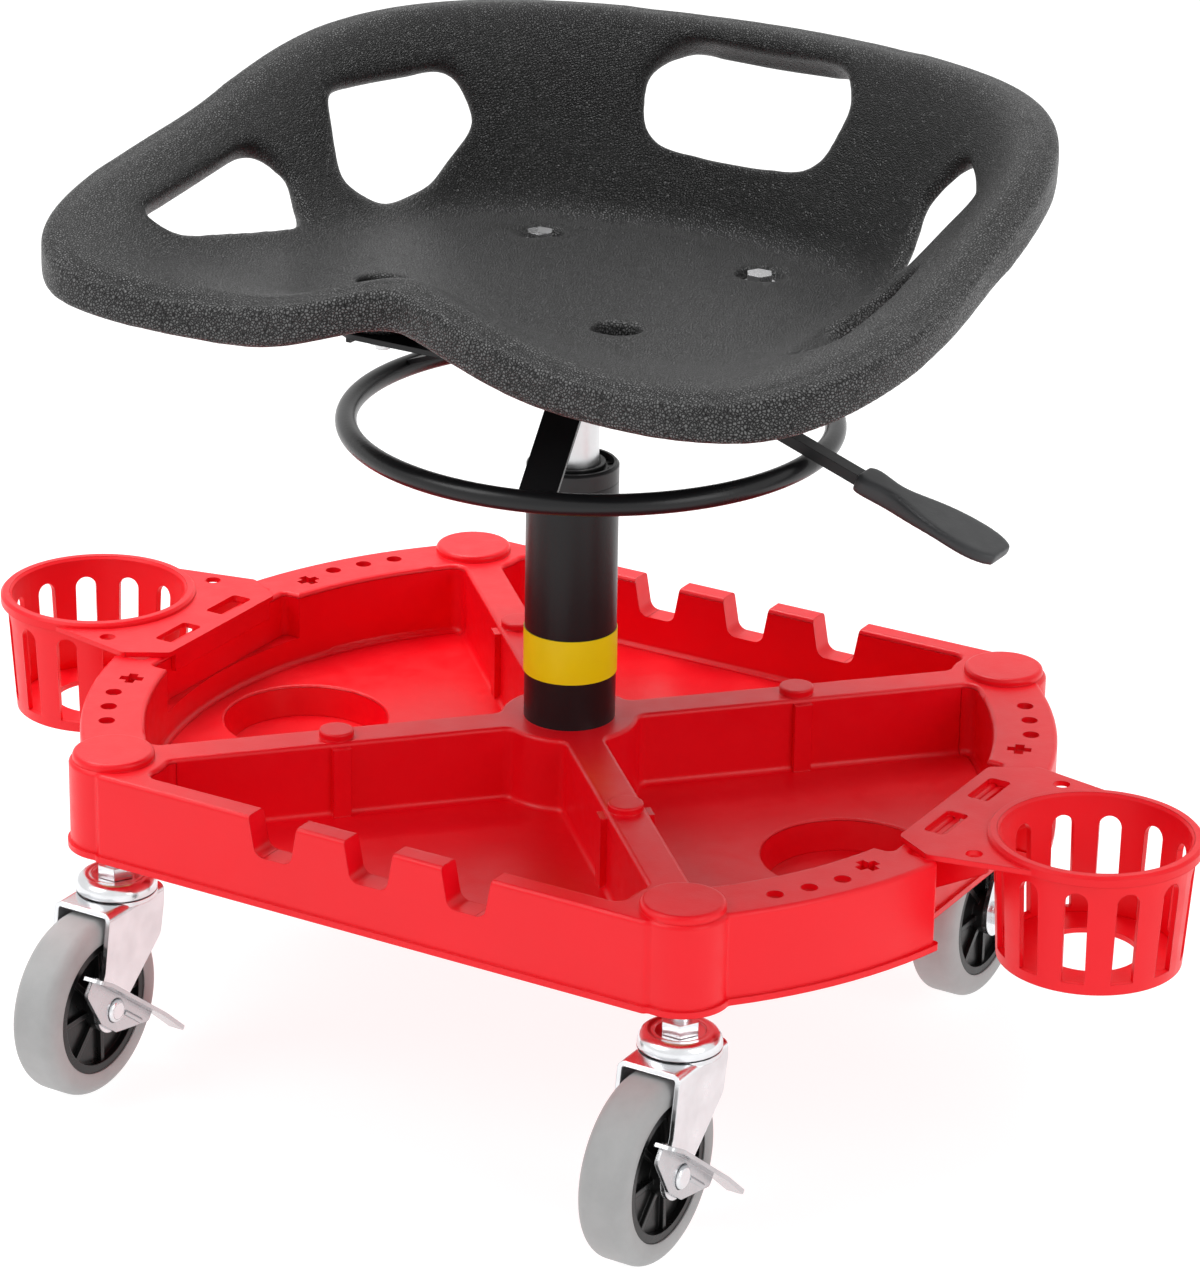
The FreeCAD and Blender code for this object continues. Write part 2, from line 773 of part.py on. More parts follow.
def core_piece():
    half = tread_width / 2
    hub_half = fork_inner - hub_side_gap
    rim_in = core_radius - core_rim_wall
    web = half - core_dish_depth
    profile = [(sleeve_radius + running_gap, -hub_half), (core_hub_radius, -hub_half),
               (core_hub_radius, -web), (rim_in, -web), (rim_in, -half + tread_lip),
               (core_radius, -half + tread_lip), (core_radius, half - tread_lip),
               (rim_in, half - tread_lip), (rim_in, web), (core_hub_radius, web),
               (core_hub_radius, hub_half), (sleeve_radius + running_gap, hub_half)]
    body = turned_along_x(profile, 0, 0)
    ribs = []
    for k in range(core_rib_count):
        rib = block(-half + tread_lip * 2, half - tread_lip * 2, -core_rib_width / 2,
                    core_rib_width / 2, core_hub_radius - overrun / 2, rim_in + overrun / 2)
        rib.rotate(V(0, 0, 0), X_AXIS, 360.0 * k / core_rib_count)
        ribs.append(rib)
    return joined([body] + ribs)


def tread_piece():
    half = tread_width / 2
    s = tread_shoulder
    crown = wheel_radius
    points = [(core_radius, -half), (crown - s, -half), (crown - s * 0.3, -half + s * 0.3),
              (crown, -half + s), (crown, half - s), (crown - s * 0.3, half - s * 0.3),
              (crown - s, half), (core_radius, half)]
    return turned_along_x(points, 0, 0)


def axle_piece():
    hub_half = fork_outer
    shank = rod(axle_radius, -hub_half - axle_nut_height - axle_end_length, hub_half)
    head = rod(axle_head_radius, hub_half, hub_half + axle_head_height)
    head = head.makeFillet(axle_head_height * 0.4, edges_where(
        head, lambda b: b.ZMin > hub_half + axle_head_height - seat_gap))
    return along_x(shank.fuse(head).removeSplitter(), wheel_y, wheel_radius)


def axle_nut_piece():
    outer = -fork_outer
    nut = hexagon(axle_nut_radius, outer - axle_nut_height, outer, 0, 0)
    nut = nut.cut(rod(axle_radius + seat_gap, outer - axle_nut_height - overrun, overrun))
    return along_x(nut, wheel_y, wheel_radius)


def sleeve_piece():
    half = fork_inner
    return along_x(tube(sleeve_radius, axle_radius + seat_gap, -half, half),
                   wheel_y, wheel_radius)


def brake_piece():
    # A pressed plate that turns about the axle outside the fork, drawn level about the
    # axle and then tilted. Its top is folded outwards as a long pedal.
    inner = fork_outer + brake_gap
    outer = inner + brake_steel
    half = brake_height / 2
    outline = [(-brake_heel, half), (-brake_heel, -half * 0.1), (-brake_cheek, -half),
               (brake_cheek, -half), (brake_toe, half * 0.3), (brake_toe, half)]
    face = Part.Face(rounded_wire(outline, brake_corner))
    matrix = FreeCAD.Matrix(0, 0, 1, 0, 1, 0, 0, 0, 0, 1, 0, 0, 0, 0, 0, 1)
    face = face.transformGeometry(matrix)
    plate = face.extrude(V(brake_steel, 0, 0))
    plate.translate(V(inner, 0, 0))
    low = half - brake_steel
    pedal_points = [V(inner, -brake_thumb_reach, low - brake_pedal_drop),
                    V(inner, -brake_heel * 0.8, low), V(inner, brake_toe, low),
                    V(inner, brake_pedal_reach, low - brake_pedal_drop)]
    above = [point + UP * brake_steel for point in reversed(pedal_points)]
    face = Part.Face(Part.makePolygon(pedal_points + above + pedal_points[:1]))
    pedal = face.extrude(V(brake_flange, 0, 0))
    tips = edges_where(pedal, lambda b: b.YLength < seat_gap and b.XLength < seat_gap
                       and b.XMin > outer)
    pedal = pedal.makeFillet(brake_flange * 0.35, tips)
    bead = rod(brake_bead_width / 2, 0, brake_bead_length)
    bead.rotate(V(0, 0, 0), X_AXIS, -90)
    bead.translate(V(outer - brake_bead_width / 2 + brake_bead,
                     axle_head_radius + brake_bead_width, brake_bead_width / 2))
    body = joined([plate, pedal, bead])
    body = body.cut(along_x(rod(axle_head_radius + loose_gap, 0, outer * 2), 0, 0))
    body.rotate(V(0, 0, 0), X_AXIS, -brake_tilt)
    body.translate(V(0, wheel_y, wheel_radius))
    return body


def placed(shape, x, y, turn):
    moved = shape.copy()
    moved.rotate(V(0, 0, 0), UP, turn)
    moved.translate(V(x, y, 0))
    return moved


fork = fork_piece()
core = core_piece()
tread = tread_piece()
core.translate(V(0, wheel_y, wheel_radius))
tread.translate(V(0, wheel_y, wheel_radius))
sleeve = sleeve_piece()
axle = axle_piece()
axle_nut = axle_nut_piece()
brake = brake_piece()
# Each caster stands at its corner, swivelled by its own angle.
caster_sides = {"left_front": (-1, -1), "right_front": (1, -1),
                "left_rear": (-1, 1), "right_rear": (1, 1)}
caster_angles = {"left_front": 0.0, "right_front": 0.0, "left_rear": 180.0, "right_rear": 0.0}
caster_pieces = {"_fork": fork, "_wheel_core": core, "_tread": tread,
                 "_axle_sleeve": sleeve, "_axle_bolt": axle, "_axle_nut": axle_nut}
for place, (side_x, side_y) in caster_sides.items():
    turn = caster_angles[place]
    x = side_x * caster_x
    y = side_y * caster_y
    for ending, piece in caster_pieces.items():
        save(placed(piece, x, y, turn), place + ending)
    if side_y < 0:
        save(placed(brake, x, y, turn), place + "_brake")

# Gas lift column
column_bore = column_radius - column_wall
base_top_z = hub_bottom_z + column_base_thickness
column = tube(column_radius, column_bore, hub_bottom_z, column_top_z)
save(column, "column_tube")
save(tube(column_bore - seat_gap, rod_foot_radius + running_gap, hub_bottom_z, base_top_z),
     "column_base_plate")
save(tube(column_radius + band_thickness, column_radius, band_bottom_z,
          band_bottom_z + band_height), "column_band")


def bush_piece():
    top_z = column_top_z + bush_rim_height
    bore = tube_radius + running_gap
    guide = column_bore - seat_gap
    floor_z = top_z - bush_groove_depth
    profile = [(bore, column_top_z - bush_guide_length), (guide, column_top_z - bush_guide_length),
               (guide, column_top_z), (column_radius, column_top_z),
               (column_radius, top_z - bush_lip), (column_radius - bush_lip, top_z),
               (column_radius - bush_lip * 2, top_z), (column_radius - bush_lip * 2, floor_z),
               (bush_collar_radius, floor_z), (bush_collar_radius, top_z),
               (bore + bush_lip, top_z), (bore, top_z - bush_lip)]
    body = turned(profile)
    slots = []
    for k in range(bush_notch_count):
        slot = block(bush_collar_radius + bush_lip, column_radius - bush_lip * 2.4,
                     -bush_notch_width / 2, bush_notch_width / 2,
                     floor_z - bush_groove_depth, floor_z + overrun)
        slot.rotate(V(0, 0, 0), UP, 360.0 * k / bush_notch_count)
        slots.append(slot)
    return without(body, slots)


save(bush_piece(), "column_bush")

washer_top = base_top_z + thrust_washer_thickness
balls_top = washer_top + 2 * thrust_ball_radius
upper_top = balls_top + thrust_washer_thickness
save(tube(thrust_washer_radius, rod_radius + running_gap, base_top_z, washer_top),
     "thrust_washer_lower")
save(Part.makeCompound(ball_pieces(thrust_ball_circle, thrust_ball_radius, thrust_ball_count,
                                   0, 0, washer_top + thrust_ball_radius)), "thrust_balls")
save(tube(thrust_washer_radius, rod_radius + seat_gap, balls_top, upper_top),
     "thrust_washer_upper")
piston_top_z = rod_top_z
piston_low_z = piston_top_z - piston_height
clip_top = hub_bottom_z - running_gap
clip_low = clip_top - rod_clip_thickness
rod_body = joined([rod(rod_foot_radius, clip_low - overrun, base_top_z),
                   rod(rod_radius, base_top_z, rod_top_z),
                   rod(rod_radius * 1.5, upper_top, upper_top + thrust_washer_thickness)])
save(rod_body, "piston_rod")
save(tube(rod_clip_radius, rod_foot_radius + seat_gap, clip_low, clip_top), "rod_clip")
piston_radius = tube_bore_radius - running_gap
seal_low = piston_low_z + (piston_height - piston_seal_height) / 2
piston = tube(piston_radius, rod_radius + seat_gap, piston_low_z, piston_top_z)
piston = piston.cut(tube(piston_radius + overrun, piston_radius - piston_seal_depth,
                         seal_low, seal_low + piston_seal_height))
save(piston, "piston")
save(tube(piston_radius, piston_radius - piston_seal_depth, seal_low,
          seal_low + piston_seal_height), "piston_seal")

plug_top_z = tube_bottom_z + tube_plug_height
cone_radius = tube_radius - tube_cone_drop
cone_low_z = tube_top_z - tube_cone_length
tube_profile = [(tube_bore_radius, tube_bottom_z), (tube_radius, tube_bottom_z),
                (tube_radius, cone_low_z), (cone_radius, tube_top_z),
                (valve_radius + running_gap, tube_top_z),
                (valve_radius + running_gap, tube_top_z - tube_top_wall),
                (tube_bore_radius, tube_top_z - tube_top_wall)]
save(turned(tube_profile), "pressure_tube")
save(tube(tube_bore_radius - seat_gap, rod_radius + running_gap, tube_bottom_z, plug_top_z),
     "tube_plug")
valve = rod(valve_radius, tube_top_z - valve_depth, tube_top_z + valve_height)
valve = valve.makeFillet(valve_radius * 0.4, edges_where(
    valve, lambda b: b.ZMin > tube_top_z + valve_height - seat_gap))
save(valve, "valve_button")

# Seat hub, plate and height lever
plate_top_z = plate_z + plate_steel
ear_inner = lever_width / 2 + ear_gap


def hub_piece():
    low = hub_bottom_gap_z
    profile = [(tube_radius + seat_gap, low), (hub_socket_radius, low),
               (hub_socket_radius, plate_z), (tube_radius, plate_z), (tube_radius, tube_top_z),
               (cone_radius + seat_gap, tube_top_z), (tube_radius + seat_gap, cone_low_z)]
    body = turned(profile)
    ears = []
    for side in (-1, 1):
        y0, y1 = sorted((side * ear_inner, side * (ear_inner + ear_thickness)))
        ears.append(block(hub_socket_radius - ear_reach / 2, lever_pivot_x + ear_reach, y0, y1,
                          lever_pivot_z - ear_drop, plate_z))
    body = joined([body] + ears)
    slot_half = lever_slot_width / 2
    window = block(0, hub_socket_radius * 2, -slot_half, slot_half, tube_top_z, plate_z + overrun)
    body = body.cut(window.common(rod(hub_socket_radius + overrun * 5, tube_top_z,
                                      plate_z + overrun)))
    pin_hole = rod(lever_pin_radius + seat_gap, -hub_socket_radius, hub_socket_radius)
    pin_hole.rotate(V(0, 0, 0), X_AXIS, 90)
    pin_hole.translate(V(lever_pivot_x, 0, lever_pivot_z))
    return body.cut(pin_hole)


save(hub_piece(), "seat_hub")


def plate_piece():
    half_x = plate_width / 2
    half_y = plate_length / 2
    outline = [(-half_x, -half_y), (half_x, -half_y), (half_x, half_y), (-half_x, half_y)]
    body = prism(outline, plate_corner_radius, plate_z, plate_top_z)
    pieces = [body]
    run = half_y - plate_corner_radius
    for side in (-1, 1):
        x0, x1 = sorted((side * half_x, side * (half_x - plate_steel)))
        pieces.append(block(x0, x1, -run, run, plate_z - plate_flange_drop, plate_z + seat_gap))
    body = joined(pieces)
    cuts = [rod(plate_hole_radius, plate_z - overrun, plate_top_z + overrun)]
    for side in (-1, 1):
        for bx, by in ((bolt_rear_x, bolt_rear_y), (bolt_front_x, bolt_front_y)):
            cuts.append(rod(bolt_radius + loose_gap, plate_z - overrun, plate_top_z + overrun,
                            side * bx, by))
    return without(body, cuts)


save(plate_piece(), "seat_plate")

pin = rod(lever_pin_radius, -ear_inner - ear_thickness - lever_pin_head_height,
          ear_inner + ear_thickness + lever_pin_head_height)
for side in (-1, 1):
    z0, z1 = sorted((side * (ear_inner + ear_thickness),
                     side * (ear_inner + ear_thickness + lever_pin_head_height)))
    pin = pin.fuse(rod(lever_pin_head_radius, z0, z1))
pin = pin.removeSplitter()
pin.rotate(V(0, 0, 0), X_AXIS, 90)
pin.translate(V(lever_pivot_x, 0, lever_pivot_z))
save(pin, "lever_pin")


def down_slope(shape):
    # Turns a piece drawn along +X from the pivot down to the lever's slope.
    tilted = shape.copy()
    tilted.rotate(V(0, 0, 0), Y_AXIS, lever_slope)
    tilted.translate(V(lever_pivot_x, 0, lever_pivot_z))
    return tilted


def bar_piece():
    half_w = lever_width / 2
    half_t = lever_thickness / 2
    boss = rod(half_t + lever_pin_radius / 2, -half_w, half_w)
    boss.rotate(V(0, 0, 0), X_AXIS, 90)
    boss.translate(V(lever_pivot_x, 0, lever_pivot_z))
    inner = block(lever_pivot_x - lever_inner_reach, lever_pivot_x, -half_w, half_w,
                  lever_pivot_z - half_t, lever_pivot_z + half_t)
    outer = down_slope(block(0, lever_bar_length, -half_w, half_w, -half_t, half_t))
    body = joined([inner, boss, outer])
    hole = rod(lever_pin_radius + running_gap, -lever_width, lever_width)
    hole.rotate(V(0, 0, 0), X_AXIS, 90)
    hole.translate(V(lever_pivot_x, 0, lever_pivot_z))
    return body.cut(hole)


def grip_section(x, half_w, half_h, rise):
    # A rounded slab section across the lever.
    r = half_h * 0.6
    wire = rounded_wire([(-half_w, -half_h), (half_w, -half_h), (half_w, half_h),
                         (-half_w, half_h)], r)
    wire.rotate(V(0, 0, 0), X_AXIS, 90)
    wire.rotate(V(0, 0, 0), UP, 90)
    wire.translate(V(x, 0, rise))
    return wire


def grip_piece():
    start = lever_bar_length - grip_overlap
    neck_w = grip_neck_width / 2
    neck_h = grip_neck_height / 2
    pad_w = grip_paddle_width / 2
    pad_h = grip_paddle_height / 2
    run_shares = (0.0, 0.22, 0.36, 0.50, 0.62, 0.80, 0.92, 0.985)
    wide_shares = (0.0, 0.05, 0.30, 0.72, 0.94, 1.0, 0.72, 0.25)
    thin_shares = (0.0, 0.0, 0.25, 0.75, 1.0, 1.0, 1.0, 1.0)
    sections = []
    for run, wide, thin in zip(run_shares, wide_shares, thin_shares):
        half_w = neck_w + (pad_w - neck_w) * wide
        half_h = neck_h + (pad_h - neck_h) * thin
        sections.append(grip_section(start + grip_length * run, half_w, half_h,
                                     grip_paddle_rise * thin))
    body = Part.makeLoft(sections, True, False)
    socket = block(start - overrun, lever_bar_length, -lever_width / 2 - seat_gap,
                   lever_width / 2 + seat_gap, -lever_thickness / 2 - seat_gap,
                   lever_thickness / 2 + seat_gap)
    return down_slope(body.cut(socket))


save(bar_piece(), "lever_bar")
save(grip_piece(), "lever_grip")

# Grab ring under the seat
ring = Part.makeTorus(ring_radius, ring_bar_radius, V(ring_shift_x, ring_shift_y, ring_z))
save(ring, "grab_ring")
collar_top = collar_z + collar_thickness
save(tube(collar_radius, hub_socket_radius + seat_gap, collar_z, collar_top), "ring_collar")


def strap_piece(angle):
    # A flat bar from the collar down to the ring, along a radius of the ring.
    t = strap_thickness
    low_z = collar_z - t
    end_z = ring_z + ring_bar_radius * 0.4
    profile = [V(0, 0, low_z), V(strap_bend_reach, 0, low_z), V(ring_radius, 0, end_z - t / 2),
               V(ring_radius, 0, end_z + t / 2), V(strap_bend_reach + t / 2, 0, collar_z),
               V(0, 0, collar_z)]
    face = Part.Face(Part.makePolygon(profile + profile[:1]))
    body = face.extrude(V(0, strap_width, 0))
    body.translate(V(0, -strap_width / 2, 0))
    body.rotate(V(0, 0, 0), UP, angle)
    body.translate(V(ring_shift_x, ring_shift_y, 0))
    body = body.cut(rod(hub_socket_radius + strap_thickness, low_z - overrun,
                        collar_z + overrun))
    out = V(math.cos(math.radians(angle)), math.sin(math.radians(angle)), 0)
    pieces = sorted(body.Solids, key=lambda piece: piece.CenterOfMass.dot(out))
    return pieces[-1].cut(ring)


save(Part.makeCompound([strap_piece(a) for a in strap_angles]), "ring_straps")

# Seat
all_angles = list(seat_angles) + [180.0 - a for a in reversed(seat_angles[1:-1])]
reach_list = list(seat_reach_shares) + list(reversed(seat_reach_shares[1:-1]))
rise_list = list(seat_rise_shares) + list(reversed(seat_rise_shares[1:-1]))
ring_parameters = [math.radians(a) for a in all_angles]
ring_parameters.append(ring_parameters[0] + 2 * math.pi)


def closed_spline(points):
    curve = Part.BSplineCurve()
    curve.interpolate(Points=points, PeriodicFlag=True, Parameters=ring_parameters)
    return curve


def eased(share):
    s = min(max(share, 0.0), 1.0)
    return s * s * (3 - 2 * s)


def seat_base_z(y):
    return seat_low_z - seat_drop * y


def rim_place(k):
    a = math.radians(all_angles[k])
    reach = seat_reach * reach_list[k]
    return V(reach * math.cos(a), reach * math.sin(a), seat_low_z + seat_rise * rise_list[k])


rim_points = [rim_place(k) for k in range(len(all_angles))]
rim_normals = []
for k in range(len(all_angles)):
    ahead = rim_points[(k + 1) % len(rim_points)] - rim_points[k]
    behind = rim_points[k] - rim_points[k - 1]
    ahead.normalize()
    behind.normalize()
    n = V(ahead.y + behind.y, -ahead.x - behind.x, 0)
    n.normalize()
    rim_normals.append(n)


def top_point(k, share):
    rim = rim_points[k]
    x = rim.x * share
    y = rim.y * share
    if share <= seat_flat_share:
        return V(x, y, seat_base_z(y))
    foot_z = seat_base_z(rim.y * seat_flat_share)
    climb = eased((share - seat_flat_share) / (1 - seat_flat_share))
    return V(x, y, foot_z + (rim.z + rim_roll_radius - foot_z) * climb)


def under_point(k, share):
    point = top_point(k, share)
    run = min(max((share - seat_flat_share) / (1 - seat_flat_share), 0.0), 1.0)
    wall = seat_thickness * (1 + seat_wall_extra_share * math.sin(math.pi * run))
    roll = eased((run - 0.5) * 2)
    depth = wall + (2 * rim_roll_radius - wall) * roll
    return point - V(0, 0, depth)


def roll_point(k, angle):
    a = math.radians(angle)
    return rim_points[k] + rim_normals[k] * (rim_roll_radius * math.sin(a)) \
        + UP * (rim_roll_radius * math.cos(a))


def seat_blank():
    count = len(all_angles)
    rings = [[top_point(k, s) for k in range(count)] for s in seat_ring_shares]
    for angle in (0, 45, 90, 135, 180):
        rings.append([roll_point(k, angle) for k in range(count)])
    for s in reversed(seat_ring_shares):
        rings.append([under_point(k, s) for k in range(count)])
    wires = [Part.Wire(closed_spline(points).toShape()) for points in rings]
    return Part.makeLoft(wires, True, False)


def window_tool(centre_shares, facing, slope, size_share, corner, shares):
    # A prism square to the seat wall: u runs along the rim and v up the wall.
    centre = V(seat_reach * centre_shares[0], seat_reach * centre_shares[1],
               seat_low_z + seat_rise * centre_shares[2])
    size = seat_reach * size_share
    a = math.radians(facing)
    s = math.radians(slope)
    out = V(math.cos(a), math.sin(a), 0)
    u = V(-math.sin(a), math.cos(a), 0)
    v = out * math.cos(s) + UP * math.sin(s)
    n = u.cross(v)
    outline = [(size * along, size * rise) for along, rise in shares]
    solid = prism(outline, corner, -window_depth / 2, window_depth / 2)
    matrix = FreeCAD.Matrix(u.x, v.x, n.x, centre.x, u.y, v.y, n.y, centre.y,
                            u.z, v.z, n.z, centre.z, 0, 0, 0, 1)
    solid.Placement = FreeCAD.Placement(matrix).multiply(solid.Placement)
    return solid


def make_seat():
    body = seat_blank()
    rear = window_tool(rear_window_centre_shares, rear_window_facing, rear_window_slope,
                       rear_window_size_share, rear_window_corner, rear_window_shares)
    front = window_tool(front_window_centre_shares, front_window_facing, front_window_slope,
                        front_window_size_share, front_window_corner, front_window_shares)
    back = window_tool(back_window_centre_shares, back_window_facing, back_window_slope,
                       back_window_size_share, back_window_corner, back_window_shares)
    for window in (back, rear, mirrored(rear, X_AXIS), front, mirrored(front, X_AXIS)):
        body = body.cut(window)
    bosses = []
    cuts = []
    floor_z = plate_top_z + bolt_floor_thickness
    for side in (-1, 1):
        for bx, by in ((bolt_rear_x, bolt_rear_y), (bolt_front_x, bolt_front_y)):
            surface = seat_base_z(by)
            bosses.append(rod(bolt_boss_radius, plate_top_z, surface - seat_thickness / 2,
                              side * bx, by))
            cuts.append(rod(bolt_recess_radius, floor_z, surface + seat_thickness,
                            side * bx, by))
            cuts.append(rod(bolt_radius + loose_gap, plate_top_z - overrun,
                            floor_z + overrun, side * bx, by))
    half_x = plate_width / 2 + loose_gap
    half_y = plate_length / 2 + loose_gap
    cuts.append(block(-half_x, half_x, -half_y, half_y, plate_z, plate_top_z))
    body = joined([body] + bosses)
    return without(body, cuts)


save(make_seat(), "seat")

washer_z = plate_top_z + bolt_floor_thickness
head_z = washer_z + bolt_washer_thickness
bolts = []
washers = []
nuts = []
for side in (-1, 1):
    for bx, by in ((bolt_rear_x, bolt_rear_y), (bolt_front_x, bolt_front_y)):
        x = side * bx
        shank = rod(bolt_radius, plate_z - bolt_nut_height - bolt_tail, head_z, x, by)
        head = hexagon(bolt_head_radius, head_z, head_z + bolt_head_height, x, by)
        bolts.append(shank.fuse(head).removeSplitter())
        washers.append(tube(bolt_washer_radius, bolt_radius + seat_gap, washer_z, head_z, x, by))
        nut = hexagon(bolt_head_radius, plate_z - bolt_nut_height, plate_z, x, by)
        nuts.append(nut.cut(rod(bolt_radius + seat_gap, plate_z - bolt_nut_height - overrun,
                                plate_z + overrun, x, by)))
save(Part.makeCompound(bolts), "seat_bolts")
save(Part.makeCompound(washers), "seat_washers")
save(Part.makeCompound(nuts), "seat_nuts")


# Cup holders
cup_x = chord_outer_x + cup_outset
bracket_corner_x = chord_outer_x + bracket_corner_outset
bracket_inner_x = chord_outer_x - bracket_inner_inset
bracket_slot_x = chord_outer_x + bracket_slot_outset
bracket_hole_x = chord_outer_x + bracket_hole_outset


def cup_piece():
    rim_low = cup_rim_z - cup_rim_height
    outer = cup_inner_radius + cup_wall
    floor_z = cup_rim_z - cup_depth
    outer_low = outer - cup_taper
    inner_low = cup_inner_radius - cup_taper
    profile = [(cup_floor_hole_radius, floor_z), (outer_low, floor_z), (outer, rim_low),
               (cup_rim_radius, rim_low), (cup_rim_radius, cup_rim_z - cup_wall / 2),
               (cup_rim_radius - cup_wall / 2, cup_rim_z),
               (cup_inner_radius + cup_wall / 2, cup_rim_z),
               (cup_inner_radius, cup_rim_z - cup_wall / 2),
               (inner_low, floor_z + cup_wall), (cup_floor_hole_radius, floor_z + cup_wall)]
    basket = turned(profile, cup_x)
    plate_top = tray_top_z + bracket_thickness
    deck_points = [(bracket_inner_x, -bracket_half_length),
                   (bracket_corner_x, -bracket_corner_y),
                   (cup_x, -cup_rim_radius + cup_wall), (cup_x, cup_rim_radius - cup_wall),
                   (bracket_corner_x, bracket_corner_y),
                   (bracket_inner_x, bracket_half_length)]
    deck = prism(deck_points, [bracket_corner_radius, bracket_corner_radius,
                               overrun, overrun, bracket_corner_radius,
                               bracket_corner_radius], tray_top_z, plate_top)
    pieces = [basket, deck]
    lip_outer = chord_inner_x - hook_gap
    lip_half = bracket_half_length - bracket_corner_radius
    pieces.append(block(lip_outer - bracket_lip_thickness, lip_outer, -lip_half, lip_half,
                        plate_top - bracket_lip_depth, plate_top - seat_gap))
    skirt_x = chord_outer_x + hook_gap
    skirt_low = tray_top_z - bracket_skirt_depth
    for side in (-1, 1):
        y_mid = side * bracket_slot_y * 1.6
        half_t = bracket_skirt_thickness / 2
        outline = [V(skirt_x, y_mid - half_t, tray_top_z + seat_gap),
                   V(skirt_x, y_mid - half_t, skirt_low),
                   V(cup_x - outer_low * 0.86, y_mid - half_t, tray_top_z - cup_rim_height * 2),
                   V(cup_x - outer_low * 0.86, y_mid - half_t, tray_top_z + seat_gap)]
        face = Part.Face(Part.makePolygon(outline + outline[:1]))
        pieces.append(face.extrude(V(0, bracket_skirt_thickness, 0)))
    backing = block(skirt_x, skirt_x + bracket_skirt_thickness, -bracket_slot_y * 1.6,
                    bracket_slot_y * 1.6, skirt_low, tray_top_z + seat_gap)
    pieces.append(backing)
    body = joined(pieces)
    cuts = [turned([(0, floor_z + cup_wall), (inner_low, floor_z + cup_wall),
                    (cup_inner_radius, cup_rim_z - cup_wall / 2),
                    (cup_inner_radius, cup_rim_z + overrun), (0, cup_rim_z + overrun)], cup_x)]
    slot_low = floor_z + cup_ring_height
    slot_high = cup_rim_z - cup_slot_top
    half = cup_slot_width / 2
    for k in range(cup_slot_count):
        bar = block(inner_low - cup_wall, outer + overrun, -half, half, slot_low, slot_high)
        arch = rod(half, inner_low - cup_wall, outer + overrun)
        arch = along_x(arch, 0, slot_high)
        cutter = bar.fuse(arch)
        cutter.rotate(V(0, 0, 0), UP, 360.0 * (k + 0.5) / cup_slot_count)
        cutter.translate(V(cup_x, 0, 0))
        cuts.append(cutter)
    for side in (-1, 1):
        cuts.append(rod(tool_hole_radius, tray_top_z - overrun, plate_top + overrun,
                        bracket_hole_x, side * bracket_hole_y))
        half_l = bracket_slot_length / 2
        half_w = bracket_slot_width / 2
        outline = [(bracket_slot_x - half_w, side * bracket_slot_y - half_l),
                   (bracket_slot_x + half_w, side * bracket_slot_y - half_l),
                   (bracket_slot_x + half_w, side * bracket_slot_y + half_l),
                   (bracket_slot_x - half_w, side * bracket_slot_y + half_l)]
        cuts.append(prism(outline, bracket_slot_corner, tray_top_z - overrun / 2,
                          plate_top + overrun))
    return without(body, cuts)


cup = cup_piece()
save(cup, "right_cup_holder")
save(mirrored(cup, X_AXIS), "left_cup_holder")
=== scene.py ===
import math

import bpy
from mathutils import Matrix, Vector


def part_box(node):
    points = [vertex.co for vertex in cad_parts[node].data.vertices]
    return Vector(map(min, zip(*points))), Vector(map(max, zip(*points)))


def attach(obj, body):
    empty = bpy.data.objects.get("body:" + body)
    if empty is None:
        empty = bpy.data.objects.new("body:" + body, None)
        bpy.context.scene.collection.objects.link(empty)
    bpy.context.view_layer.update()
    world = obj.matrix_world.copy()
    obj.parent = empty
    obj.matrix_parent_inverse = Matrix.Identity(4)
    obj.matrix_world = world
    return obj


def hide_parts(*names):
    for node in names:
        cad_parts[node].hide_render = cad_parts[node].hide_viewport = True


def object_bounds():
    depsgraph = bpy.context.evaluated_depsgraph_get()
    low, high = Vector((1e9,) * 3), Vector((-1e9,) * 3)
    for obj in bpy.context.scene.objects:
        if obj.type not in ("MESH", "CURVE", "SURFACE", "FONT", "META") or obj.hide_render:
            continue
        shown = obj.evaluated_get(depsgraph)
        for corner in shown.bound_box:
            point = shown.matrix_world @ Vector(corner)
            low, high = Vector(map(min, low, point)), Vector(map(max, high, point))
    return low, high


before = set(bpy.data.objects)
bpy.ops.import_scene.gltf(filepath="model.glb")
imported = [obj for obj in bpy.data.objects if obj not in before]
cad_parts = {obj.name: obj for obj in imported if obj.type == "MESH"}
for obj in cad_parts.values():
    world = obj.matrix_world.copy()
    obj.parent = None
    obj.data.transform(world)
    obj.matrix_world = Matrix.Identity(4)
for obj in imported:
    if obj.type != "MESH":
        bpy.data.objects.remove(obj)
cad_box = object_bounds()
scene = bpy.context.scene

# Camera at the photograph's viewing angle
azimuth = math.radians(30.112)
elevation = math.radians(22.098)
roll = math.radians(0.977)
camera_place = Vector((1.23367, -2.09524, 1.21587))
focal_pixels = 4836.33
image_height = 1269.0
sensor_height = 36.0

camera_data = bpy.data.cameras.new("camera")
camera = bpy.data.objects.new("camera", camera_data)
scene.collection.objects.link(camera)
back = Vector((math.sin(azimuth) * math.cos(elevation),
               -math.cos(azimuth) * math.cos(elevation), math.sin(elevation)))
side = Vector((0, 0, 1)).cross(back).normalized()
up = back.cross(side)
right = side * math.cos(roll) + up * math.sin(roll)
top = -side * math.sin(roll) + up * math.cos(roll)
rotation = Matrix((right, top, back)).transposed()
camera.matrix_world = Matrix.Translation(camera_place) @ rotation.to_4x4()
camera_data.sensor_fit = "VERTICAL"
camera_data.sensor_height = sensor_height
camera_data.lens = sensor_height * focal_pixels / image_height
camera_data.clip_start = 0.1
camera_data.clip_end = 50.0
scene.camera = camera

